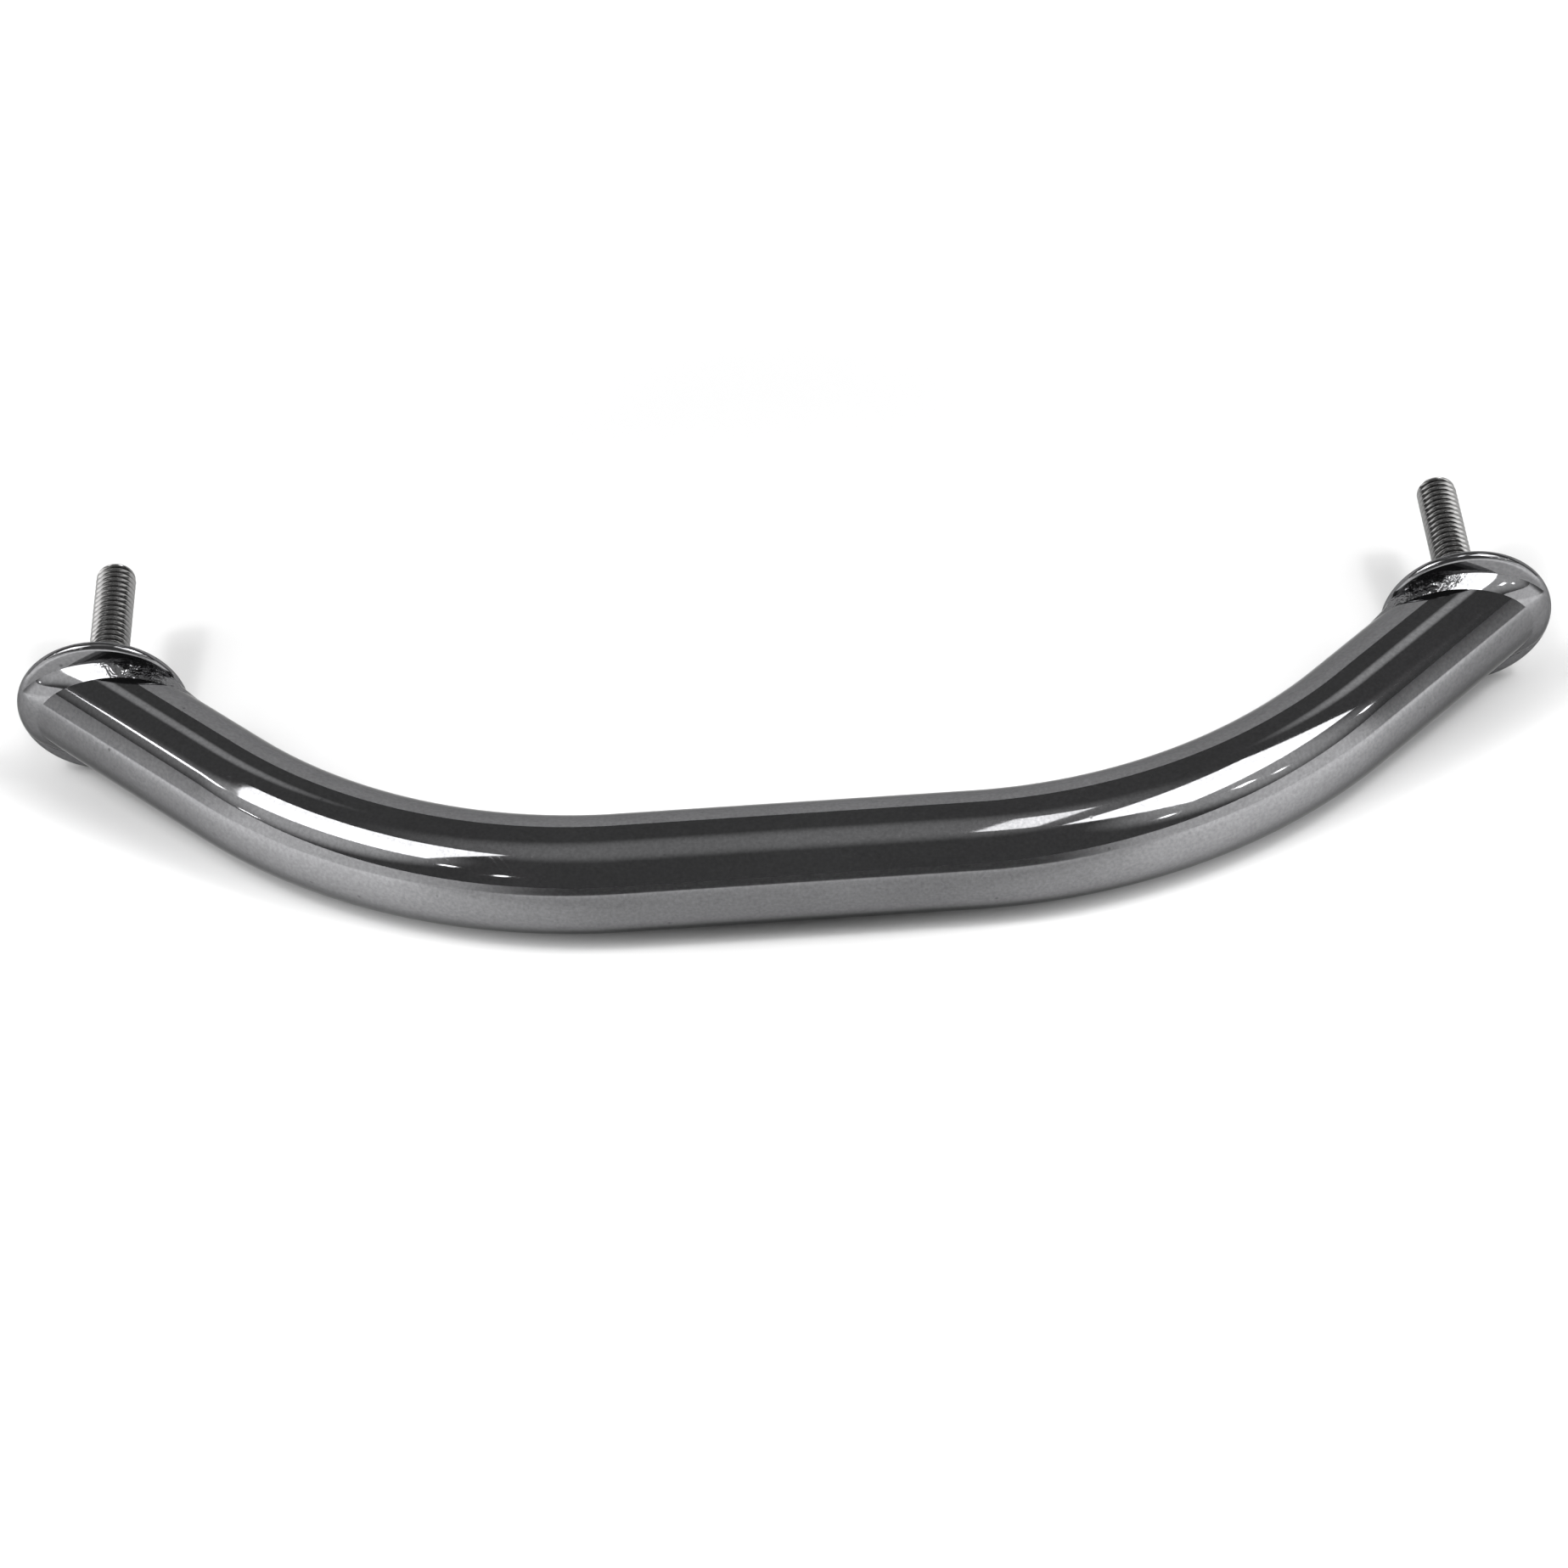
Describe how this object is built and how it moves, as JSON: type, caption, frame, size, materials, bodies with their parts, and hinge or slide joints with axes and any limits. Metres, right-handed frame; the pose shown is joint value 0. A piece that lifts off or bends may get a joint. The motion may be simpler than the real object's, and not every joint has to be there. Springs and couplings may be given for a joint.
{
  "type": "grab rail",
  "caption": "Bent tubular grab rail with round welded flanges and projecting threaded studs, for bolting through a deck, cabin side or bulkhead.",
  "frame": {"origin": "on the plane of the flanges' mounting faces, midway between the two studs", "axes": "+X along the rail, +Y along the studs into the surface that the rail is bolted to, so the hand grip bows out to -Y, and +Z across the rail"},
  "size_m": [0.3002, 0.1037, 0.0336],
  "materials": {
    "polished_steel": "mirror-polished stainless steel with faint polishing marks",
    "thread_steel": "rolled stainless steel thread, satin",
    "weld_steel": "cleaned weld bead, dull"
  },
  "bodies": {
    "root": {"rail_tube": "polished_steel", "left_flange": "polished_steel", "right_flange": "polished_steel", "left_stud": "thread_steel", "right_stud": "thread_steel", "left_neck_weld": "polished_steel", "right_neck_weld": "polished_steel", "left_stud_weld": "weld_steel", "right_stud_weld": "weld_steel"}
  },
  "joints": []
}
